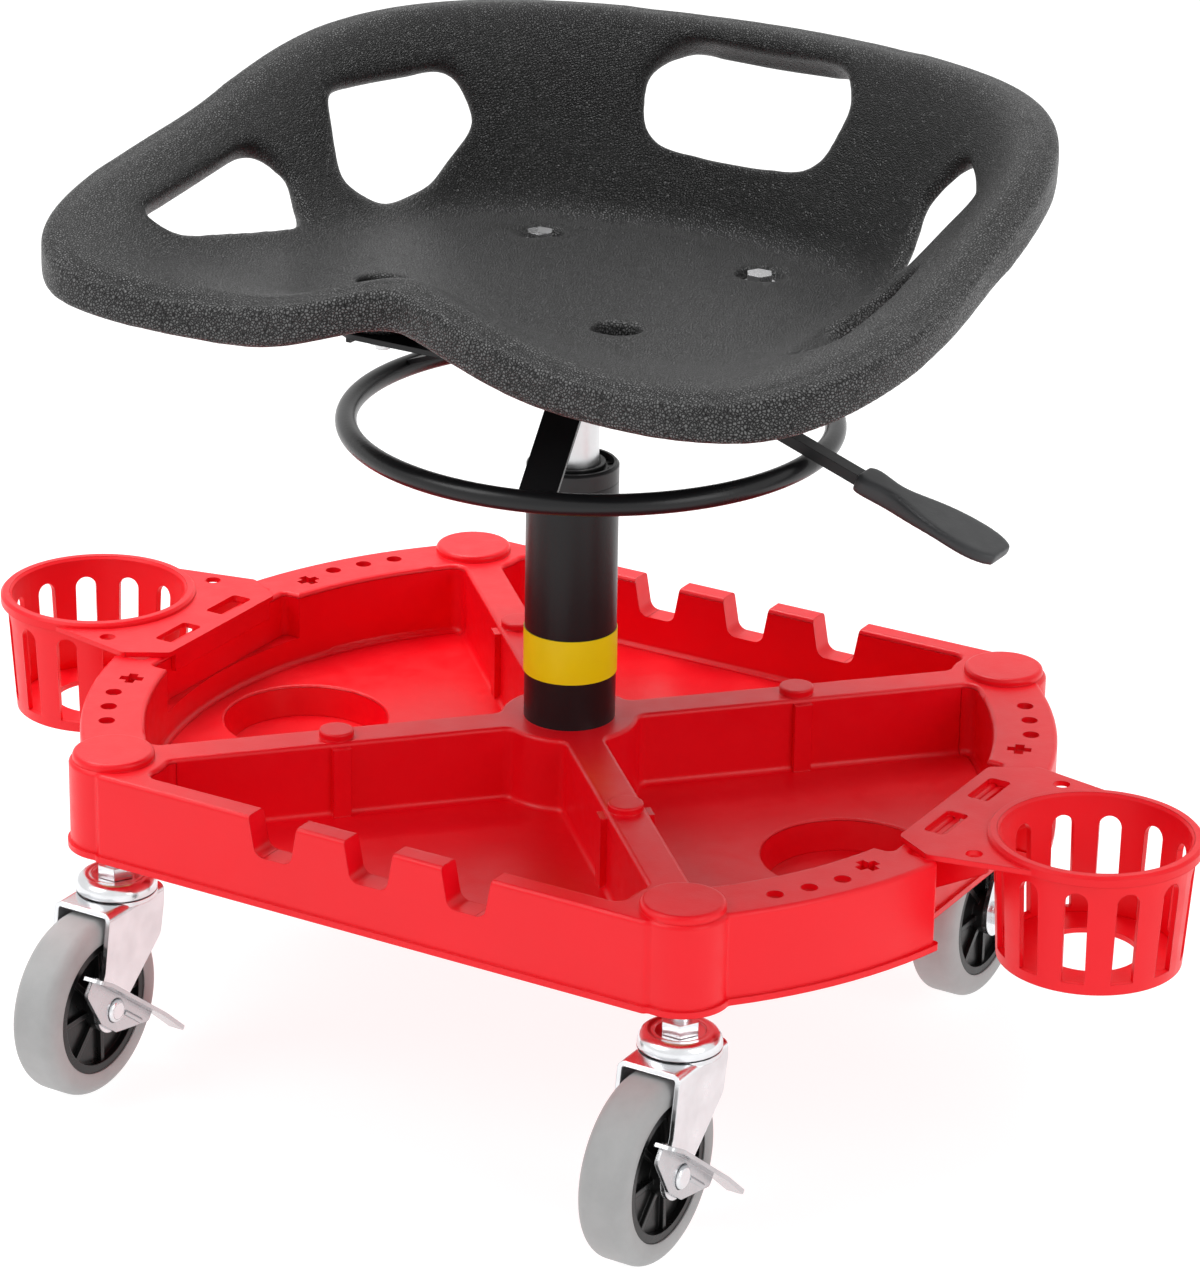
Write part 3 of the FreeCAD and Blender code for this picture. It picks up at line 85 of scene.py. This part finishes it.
# Shader node helpers


def new_material(name):
    material = bpy.data.materials.new(name)
    material.use_nodes = True
    tree = material.node_tree
    shader = tree.nodes["Principled BSDF"]
    return material, tree, shader


def coordinates(tree, scale=(1, 1, 1)):
    source = tree.nodes.new("ShaderNodeTexCoord")
    mapping = tree.nodes.new("ShaderNodeMapping")
    mapping.inputs["Scale"].default_value = scale
    tree.links.new(source.outputs["Object"], mapping.inputs["Vector"])
    return mapping.outputs["Vector"]


def noise(tree, vector, scale, detail, roughness=0.55):
    node = tree.nodes.new("ShaderNodeTexNoise")
    node.inputs["Scale"].default_value = scale
    node.inputs["Detail"].default_value = detail
    node.inputs["Roughness"].default_value = roughness
    tree.links.new(vector, node.inputs["Vector"])
    return node.outputs["Fac"]


def cells(tree, vector, scale):
    node = tree.nodes.new("ShaderNodeTexVoronoi")
    node.feature = "DISTANCE_TO_EDGE"
    node.inputs["Scale"].default_value = scale
    tree.links.new(vector, node.inputs["Vector"])
    return node.outputs["Distance"]


def spread(tree, value, source, target=(0.0, 1.0)):
    # Takes the value from the source's range to the target's.
    node = tree.nodes.new("ShaderNodeMapRange")
    node.inputs["From Min"].default_value, node.inputs["From Max"].default_value = source
    node.inputs["To Min"].default_value, node.inputs["To Max"].default_value = target
    tree.links.new(value, node.inputs["Value"])
    return node.outputs["Result"]


def fill(tree, slot, value):
    # A socket is linked, a plain value is written into the slot.
    if isinstance(value, (int, float, tuple)):
        slot.default_value = value
    else:
        tree.links.new(value, slot)


def combine(tree, operation, first, second):
    node = tree.nodes.new("ShaderNodeMath")
    node.operation = operation
    for slot, value in zip(node.inputs, (first, second)):
        fill(tree, slot, value)
    return node.outputs["Value"]


def vector_math(tree, operation, *values):
    node = tree.nodes.new("ShaderNodeVectorMath")
    node.operation = operation
    for slot, value in zip(node.inputs, values):
        fill(tree, slot, value)
    return node.outputs["Value" if operation == "DOT_PRODUCT" else "Vector"]


def blend(tree, kind, share, low, high):
    # Mixes two numbers ("FLOAT") or two colours ("RGBA").
    node = tree.nodes.new("ShaderNodeMix")
    node.data_type = kind
    tree.links.new(share, node.inputs["Factor"])
    for slot, value in (("A", low), ("B", high)):
        fill(tree, node.inputs[slot], (*value, 1) if isinstance(value, tuple) else value)
    return node.outputs["Result"]


def vary_colour(tree, shader, value, deep, colour, source=(0.3, 0.7)):
    share = spread(tree, value, source)
    tree.links.new(blend(tree, "RGBA", share, deep, colour), shader.inputs["Base Color"])


def vary_roughness(tree, shader, value, target):
    tree.links.new(spread(tree, value, (0.3, 0.7), target), shader.inputs["Roughness"])


def bump(tree, shader, height, distance, strength=1.0, below=None):
    node = tree.nodes.new("ShaderNodeBump")
    node.inputs["Distance"].default_value = distance
    node.inputs["Strength"].default_value = strength
    tree.links.new(height, node.inputs["Height"])
    if below is not None:
        tree.links.new(below, node.inputs["Normal"])
    tree.links.new(node.outputs["Normal"], shader.inputs["Normal"])
    return node.outputs["Normal"]


def eased_edges(tree, radius):
    # A normal that turns softly over crisp edges, as a mould or a press leaves them.
    bevel = tree.nodes.new("ShaderNodeBevel")
    bevel.samples = 4
    bevel.inputs["Radius"].default_value = radius
    return bevel.outputs["Normal"]


# Materials


def outward_facing(tree):
    # 1 where the surface faces away from the column's axis, -1 where it faces the axis.
    source = tree.nodes.new("ShaderNodeTexCoord")
    flat = vector_math(tree, "MULTIPLY", source.outputs["Object"], (1, 1, 0))
    radial = vector_math(tree, "NORMALIZE", flat)
    return vector_math(tree, "DOT_PRODUCT", radial, source.outputs["Normal"])


def seat_plastic():
    # Dark charcoal moulding with a pebbled leather grain, whose pebble tops are painted lighter
    # as highlights:
    # coarse, with brighter painted highlights, round the rim's outer side, finer on the seat,
    # faint and painted darker as shade on the inside of the walls.
    valley = (0.0, 0.0, 0.0)
    # Pebble tops lighter than the valleys: real grain, with painted highlights on the tops.
    seat_pebble_painted_highlight = (0.085, 0.085, 0.085)
    # Brighter pebble tops on the rim's outward-facing side: painted highlights.
    rim_pebble_painted_highlight = (0.145, 0.145, 0.145)
    # Darker colours for the inside of the walls: painted shade.
    wall_valley_painted_shade = (0.002, 0.002, 0.002)
    wall_pebble_painted_shade = (0.014, 0.014, 0.014)
    pebble_top = 0.28
    warp_share = 0.20
    fine_share = 0.12
    material, tree, shader = new_material("seat_grain_painted_light")
    where = coordinates(tree)
    warp = noise(tree, where, scale=260.0, detail=2.0)
    fine = noise(tree, where, scale=1500.0, detail=3.0)
    broad = noise(tree, where, scale=9.0, detail=3.0)
    outward = outward_facing(tree)
    side = spread(tree, outward, (0.25, 0.70))
    # Surfaces facing the column's axis take the painted-shade colours.
    painted_shade_share = spread(tree, outward, (-0.75, -0.25), (1.0, 0.0))
    pebbles = blend(tree, "FLOAT", side, cells(tree, where, 700.0), cells(tree, where, 620.0))
    height = combine(tree, "ADD", combine(tree, "MINIMUM", pebbles, pebble_top),
                     combine(tree, "MULTIPLY", warp, warp_share))
    height = combine(tree, "ADD", height, combine(tree, "MULTIPLY", fine, fine_share))
    bump(tree, shader, height, distance=0.0022)
    # The pebbles' height sets the colour: the lighter tops are painted highlights.
    grain = spread(tree, pebbles, (0.03, 0.30))
    plain = blend(tree, "RGBA", grain, valley, seat_pebble_painted_highlight)
    rim_painted_highlight = blend(tree, "RGBA", grain, valley, rim_pebble_painted_highlight)
    wall_painted_shade = blend(tree, "RGBA", grain, wall_valley_painted_shade, wall_pebble_painted_shade)
    outer = blend(tree, "RGBA", side, plain, rim_painted_highlight)
    tree.links.new(blend(tree, "RGBA", painted_shade_share, outer, wall_painted_shade), shader.inputs["Base Color"])
    vary_roughness(tree, shader, broad, (0.30, 0.36))
    shader.inputs["Specular IOR Level"].default_value = 0.21
    return material


def moulded_plastic(name, colour, deep, roughness):
    # Injection-moulded polypropylene: faint flow variation and a fine satin skin.
    edge_radius = 0.0009
    material, tree, shader = new_material(name)
    where = coordinates(tree)
    flow = noise(tree, where, scale=7.0, detail=3.0)
    skin = noise(tree, where, scale=900.0, detail=2.0)
    orange = noise(tree, where, scale=90.0, detail=2.0)
    vary_colour(tree, shader, flow, deep, colour, (0.35, 0.65))
    vary_roughness(tree, shader, orange, (roughness - 0.04, roughness + 0.05))
    shader.inputs["Specular IOR Level"].default_value = 0.35
    eased = eased_edges(tree, edge_radius)
    first = bump(tree, shader, orange, distance=0.0006, strength=0.2, below=eased)
    bump(tree, shader, skin, distance=0.0002, strength=0.3, below=first)
    return material


def painted_steel(name, colour, roughness):
    # Powder-coated tube with a light orange-peel skin.
    edge_radius = 0.0006
    material, tree, shader = new_material(name)
    where = coordinates(tree)
    peel = noise(tree, where, scale=420.0, detail=2.0)
    wide = noise(tree, where, scale=12.0, detail=3.0)
    deep = tuple(c * 0.75 for c in colour)
    vary_colour(tree, shader, wide, deep, colour)
    vary_roughness(tree, shader, wide, (roughness - 0.03, roughness + 0.05))
    shader.inputs["Specular IOR Level"].default_value = 0.32
    eased = eased_edges(tree, edge_radius)
    bump(tree, shader, peel, distance=0.0003, strength=0.2, below=eased)
    return material


def bright_steel(name, colour, roughness, brushed=(1, 1, 1), grain=700.0):
    # Zinc-plated pressed steel with faint rolling marks and rubbed patches.
    edge_radius = 0.0007
    material, tree, shader = new_material(name)
    lines = noise(tree, coordinates(tree, brushed), scale=grain, detail=2.0)
    patch = noise(tree, coordinates(tree), scale=60.0, detail=4.0)
    deep = tuple(c * 0.86 for c in colour)
    vary_colour(tree, shader, patch, deep, colour)
    vary_roughness(tree, shader, patch, (roughness - 0.05, roughness + 0.08))
    shader.inputs["Metallic"].default_value = 1.0
    eased = eased_edges(tree, edge_radius)
    bump(tree, shader, lines, distance=0.00015, strength=0.25, below=eased)
    return material


def grey_rubber():
    # Thermoplastic rubber tyre, matt with a slightly scuffed crown.
    deep = (0.345, 0.345, 0.345)
    scuffed = (0.400, 0.400, 0.400)
    material, tree, shader = new_material("tread_grey_rubber")
    where = coordinates(tree)
    fine = noise(tree, where, scale=1300.0, detail=3.0)
    scuff = noise(tree, where, scale=45.0, detail=4.0, roughness=0.6)
    vary_colour(tree, shader, scuff, deep, scuffed, (0.35, 0.7))
    vary_roughness(tree, shader, scuff, (0.55, 0.68))
    bump(tree, shader, fine, distance=0.0002, strength=0.4)
    return material


def yellow_film():
    # Plain printed film round the column.
    deep = (0.90, 0.72, 0.0)
    yellow = (0.95, 0.79, 0.0)
    material, tree, shader = new_material("band_yellow_film")
    where = coordinates(tree)
    fade = noise(tree, where, scale=30.0, detail=3.0)
    crease = noise(tree, where, scale=150.0, detail=2.0)
    vary_colour(tree, shader, fade, deep, yellow)
    vary_roughness(tree, shader, crease, (0.30, 0.38))
    bump(tree, shader, crease, distance=0.0001, strength=0.3)
    return material


red = (0.90, 0.001, 0.010)
deep_red = (0.84, 0.001, 0.008)
lengthwise = (1, 1, 0.02)  # the noise's scale, for marks drawn out along the axis
seat_look = seat_plastic()
tray_look = moulded_plastic("tray_red", red, deep_red, 0.36)
cup_look = moulded_plastic("cup_red", red, deep_red, 0.38)
black_plastic = moulded_plastic("black_nylon", (0.022, 0.022, 0.023), (0.014, 0.014, 0.015), 0.34)
grip_look = moulded_plastic("grip_black", (0.042, 0.043, 0.045), (0.034, 0.035, 0.037), 0.42)
core_look = moulded_plastic("core_black", (0.006, 0.006, 0.006), (0.003, 0.003, 0.003), 0.30)
seal_look = moulded_plastic("seal_rubber", (0.02, 0.02, 0.02), (0.012, 0.012, 0.012), 0.6)
column_look = painted_steel("column_black", (0.008, 0.008, 0.009), 0.30)
ring_look = painted_steel("ring_black", (0.009, 0.009, 0.010), 0.28)
frame_look = painted_steel("frame_black", (0.010, 0.010, 0.011), 0.40)
zinc_look = bright_steel("zinc_plate", (0.80, 0.81, 0.83), 0.20)
bolt_look = bright_steel("bolt_zinc", (0.74, 0.74, 0.75), 0.28)
# Darker zinc on the brake: painted shade, standing in for darker reflections.
brake_painted_shade_look = bright_steel("brake_zinc_painted_shade", (0.58, 0.585, 0.60), 0.24)
tube_look = bright_steel("lift_tube_satin", (0.72, 0.72, 0.73), 0.30, lengthwise, 300.0)
rod_look = bright_steel("rod_polished", (0.82, 0.82, 0.84), 0.10, lengthwise, 300.0)
brass_look = bright_steel("insert_brass", (0.80, 0.58, 0.28), 0.30)
tread_look = grey_rubber()
band_look = yellow_film()

looks = {"tray": tray_look, "left_cup_holder": cup_look, "right_cup_holder": cup_look,
         "seat": seat_look, "lever_grip": grip_look, "column_tube": column_look,
         "column_band": band_look, "column_bush": black_plastic, "grab_ring": ring_look,
         "ring_straps": frame_look, "ring_collar": frame_look, "seat_plate": frame_look,
         "seat_hub": frame_look, "lever_bar": frame_look, "column_base_plate": frame_look,
         "pressure_tube": tube_look, "piston_rod": rod_look, "piston_seal": seal_look,
         "tube_plug": black_plastic, "stem_inserts": brass_look, "seat_bolts": bolt_look,
         "seat_washers": bolt_look, "seat_nuts": bolt_look, "caster_balls": rod_look,
         "thrust_balls": rod_look}
endings = {"_wheel_core": core_look, "_tread": tread_look, "_brake": brake_painted_shade_look}


def look_for(node):
    if node in looks:
        return looks[node]
    for ending, material in endings.items():
        if node.endswith(ending):
            return material
    return zinc_look


for node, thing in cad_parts.items():
    thing.data.materials.clear()
    thing.data.materials.append(look_for(node))
    for polygon in thing.data.polygons:
        polygon.material_index = 0


# Pieces with softer edges than the solids that they replace
smoothing = 0.5


def link(name, data):
    thing = bpy.data.objects.new(name, data)
    scene.collection.objects.link(thing)
    return thing


def settled(thing):
    # The modifiers' result as the object's own mesh.
    graph = bpy.context.evaluated_depsgraph_get()
    mesh = bpy.data.meshes.new_from_object(thing.evaluated_get(graph))
    thing.modifiers.clear()
    thing.data = mesh
    return mesh


def softened(node, name, voxel, passes, material):
    # A moulded skin over a crisp solid: its edges are rounded as a mould rounds them.
    thing = link(name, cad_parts[node].data.copy())
    remesh = thing.modifiers.new("skin", "REMESH")
    remesh.mode = "VOXEL"
    remesh.voxel_size = voxel
    smooth = thing.modifiers.new("soft", "SMOOTH")
    smooth.factor = smoothing
    smooth.iterations = passes
    mesh = settled(thing)
    mesh.materials.clear()
    mesh.materials.append(material)
    mesh.shade_smooth()
    return thing


def eased_windows(thing, boxes, reach, fade, passes):
    # The hand windows have rounded corners and full, rolled edges: the skin is smoothed
    # within reach of each window's box, and less and less over the fade outside it.
    group = thing.vertex_groups.new(name="windows")
    for vertex in thing.data.vertices:
        nearest = 1.0
        for low, high in boxes:
            apart = [max(low[k] - vertex.co[k], 0.0, vertex.co[k] - high[k]) for k in (0, 1, 2)]
            nearest = min(nearest, math.hypot(*apart))
        if nearest < reach + fade:
            group.add([vertex.index], min((reach + fade - nearest) / fade, 1.0), "REPLACE")
    rolled = thing.modifiers.new("rolled", "SMOOTH")
    rolled.factor = smoothing
    rolled.iterations = passes
    rolled.vertex_group = "windows"
    mesh = settled(thing)
    thing.vertex_groups.clear()
    mesh.shade_smooth()


def squared_rim(mesh, roll, power, keep):
    # The rolled rim has a flat side and a tight shoulder: its round section, of radius
    # roll, is squared by the power, and keep holds it inside the rim's outline.
    sectors = 180
    neighbours = (-3, -2, -1, 0, 1, 2, 3)
    inner_share = 0.6
    blend_share = 0.25
    reach = [0.0] * sectors
    height = [0.0] * sectors
    polar = []
    for vertex in mesh.vertices:
        x, y, z = vertex.co
        turn = (math.atan2(y, x) / math.tau % 1.0) * sectors
        far = math.hypot(x, y)
        polar.append((turn, far))
        k = int(turn) % sectors
        if far > reach[k]:
            reach[k] = far
            height[k] = z
    even = []
    for k in range(sectors):
        near = [height[(k + step) % sectors] for step in neighbours]
        even.append(sum(near) / len(near))
    for vertex, (turn, far) in zip(mesh.vertices, polar):
        place = turn - 0.5
        k = math.floor(place)
        share = place - k
        edge = reach[k % sectors] * (1 - share) + reach[(k + 1) % sectors] * share
        level = even[k % sectors] * (1 - share) + even[(k + 1) % sectors] * share
        out = far - (edge - roll)
        rise = vertex.co.z - level
        size = math.hypot(out, rise)
        if out <= 0 or size < roll * inner_share:
            continue
        c = abs(out) / size
        s = abs(rise) / size
        grow = (c ** power + s ** power) ** (-1 / power)
        grow = 1 + (grow * keep - 1) * min(out / (roll * blend_share), 1.0)
        wider = (edge - roll + out * grow) / far
        vertex.co = (vertex.co.x * wider, vertex.co.y * wider, level + rise * grow)


seat_skin = softened("seat", "seat_skin", voxel=0.0020, passes=6, material=seat_look)
rear_window = ((0.103, 0.054, 0.451), (0.179, 0.095, 0.485))
front_window = ((0.176, -0.061, 0.448), (0.199, -0.011, 0.505))
back_window = ((-0.046, 0.168, 0.468), (0.046, 0.198, 0.500))
windows = [back_window]
for low, high in (rear_window, front_window):
    windows.append((low, high))
    windows.append(((-high[0], low[1], low[2]), (-low[0], high[1], high[2])))
eased_windows(seat_skin, windows, reach=0.042, fade=0.010, passes=80)
squared_rim(seat_skin.data, roll=0.013, power=4.5, keep=0.97)
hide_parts("seat")
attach(seat_skin, "seat_unit")

# The lever's soft grip, with the full edges of a dipped or moulded sleeve
grip_skin = softened("lever_grip", "grip_skin", voxel=0.0010, passes=14, material=grip_look)
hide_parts("lever_grip")
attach(grip_skin, "height_lever")


def lathe(profile, centre, axis):
    # Rings of (radius, place) points turned about an axis through the centre.
    steps = 96
    verts = []
    faces = []
    count = len(profile)
    for k in range(steps):
        a = math.tau * k / steps
        for radius, place in profile:
            if axis == "X":
                verts.append((centre[0] + place, centre[1] + radius * math.cos(a),
                              centre[2] + radius * math.sin(a)))
            else:
                verts.append((centre[0] + radius * math.cos(a),
                              centre[1] + radius * math.sin(a), centre[2] + place))
        ahead = (k + 1) % steps
        for i in range(count):
            j = (i + 1) % count
            faces.append((k * count + i, ahead * count + i, ahead * count + j, k * count + j))
    return verts, faces


def turned_piece(name, profile, centres, axis, material):
    sharp_angle = 38
    verts = []
    faces = []
    for centre in centres:
        more_verts, more_faces = lathe(profile, centre, axis)
        faces += [tuple(len(verts) + i for i in face) for face in more_faces]
        verts += more_verts
    mesh = bpy.data.meshes.new(name)
    mesh.from_pydata(verts, [], faces)
    mesh.materials.append(material)
    thing = link(name, mesh)
    bpy.context.view_layer.objects.active = thing
    thing.select_set(True)
    bpy.ops.object.mode_set(mode="EDIT")
    bpy.ops.mesh.select_all(action="SELECT")
    bpy.ops.mesh.normals_make_consistent(inside=False)
    bpy.ops.object.mode_set(mode="OBJECT")
    thing.select_set(False)
    mesh.shade_smooth()
    mesh.set_sharp_from_angle(angle=math.radians(sharp_angle))
    return thing


def arc(centre, radius, start, end, steps):
    points = []
    for k in range(steps + 1):
        a = math.radians(start + (end - start) * k / steps)
        points.append((centre[0] + radius * math.cos(a), centre[1] + radius * math.sin(a)))
    return points


# Pressed caps over the swivel bearings: a domed ring round a dished middle
caster_x = 0.174496
caster_y = 0.181598
cap_low, cap_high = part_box("caster_head_caps")
cap_hole = 0.0062
cap_sheet = 0.0021
cap_rise = 0.0024
cap_flat = 0.0118
dish_centre = 0.0140
dish_radius = 0.0010
dome_centre = 0.0166
dome_drop = 0.0022
dome_radius = 0.0052
skirt_radius = 0.0220
skirt_inside = 0.0208
skirt_drop = 0.0035
dome_inside = 0.0206
cap_floor = cap_high.z - cap_low.z - cap_rise
cap_face = cap_floor + cap_sheet
cap_profile = [(cap_hole, cap_floor), (cap_hole, cap_face), (cap_flat, cap_face)]
cap_profile += arc((dish_centre, cap_face), dish_radius, 180, 100, 3)
cap_profile += arc((dome_centre, cap_floor - dome_drop), dome_radius, 108, 12, 10)
cap_profile += [(skirt_radius, cap_floor - skirt_drop), (skirt_radius, 0.0),
                (skirt_inside, 0.0), (dome_inside, cap_floor)]
places = [(sx * caster_x, sy * caster_y, cap_low.z) for sx in (-1, 1) for sy in (-1, 1)]
caps = turned_piece("cap_domes", cap_profile, places, "Z", zinc_look)
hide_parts("caster_head_caps")
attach(caps, "base")

# Tyres with a soft shoulder and a small lip over the wheel's rim
half = 0.0135
bead_radius = 0.0372
lip_radius = 0.0384
lip_step = 0.0006
crown_radius = 0.0500
shoulder = 0.0070
shoulder_centre = crown_radius - shoulder
tyre_profile = [(bead_radius, -half + lip_step), (lip_radius, -half)]
tyre_profile += arc((shoulder_centre, -half + shoulder), shoulder, -90, 0, 10)
tyre_profile += [(crown_radius, 0.0)]
tyre_profile += arc((shoulder_centre, half - shoulder), shoulder, 0, 90, 10)
tyre_profile += [(lip_radius, half), (bead_radius, half - lip_step)]
for place in ("left_front", "right_front", "left_rear", "right_rear"):
    low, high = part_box(place + "_tread")
    tyre = turned_piece(place + "_tyre", tyre_profile, [(low + high) / 2], "X", tread_look)
    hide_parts(place + "_tread")
    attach(tyre, place + "_wheel")

# Floor and light
white = (1, 1, 1, 1)
floor_gap = 0.0005
light_target = Vector((0, 0, 0.25))
lights = {"key_light": ((-1.6, -2.2, 2.6), (1.6, 1.6), 32.0),
          "side_light": ((2.6, -0.6, 1.5), (1.4, 2.0), 20.0),
          "top_light": ((-1.0, 0.6, 2.9), (2.0, 2.0), 84.0)}
sky_light = 0.50
sky_seen = 1.0


def floor_material():
    # Pale to the camera and in reflections; under the object it only takes a soft shadow.
    material, tree, shader = new_material("studio_floor")
    shader.inputs["Base Color"].default_value = (0.30, 0.30, 0.30, 1)
    shader.inputs["Roughness"].default_value = 0.9
    shader.inputs["Emission Color"].default_value = white
    shader.inputs["Emission Strength"].default_value = 0.86
    return material


def make_floor():
    mesh = bpy.data.meshes.new("studio_floor")
    reach = 12.0
    mesh.from_pydata([(-reach, -reach, 0), (reach, -reach, 0), (reach, reach, 0),
                      (-reach, reach, 0)], [], [(0, 1, 2, 3)])
    mesh.materials.append(floor_material())
    floor = link("studio_floor", mesh)
    floor.location = (0, 0, cad_box[0][2] - floor_gap)


def area_light(name, place, size, power):
    data = bpy.data.lights.new(name, "AREA")
    data.shape = "RECTANGLE"
    data.size, data.size_y = size
    data.energy = power
    lamp = link(name, data)
    lamp.location = place
    aim = light_target - Vector(place)
    lamp.rotation_euler = aim.to_track_quat("-Z", "Y").to_euler()


make_floor()
for name, (place, size, power) in lights.items():
    area_light(name, place, size, power)

world = bpy.data.worlds.new("studio")
scene.world = world
world.use_nodes = True
tree = world.node_tree
background = tree.nodes["Background"]
path = tree.nodes.new("ShaderNodeLightPath")
seen = combine(tree, "MAXIMUM", path.outputs["Is Camera Ray"],
               combine(tree, "MAXIMUM", path.outputs["Is Glossy Ray"],
                       path.outputs["Is Transmission Ray"]))
strength = spread(tree, seen, (0.0, 1.0), (sky_light, sky_seen))
tree.links.new(strength, background.inputs["Strength"])
background.inputs["Color"].default_value = white
scene.view_settings.view_transform = "Standard"
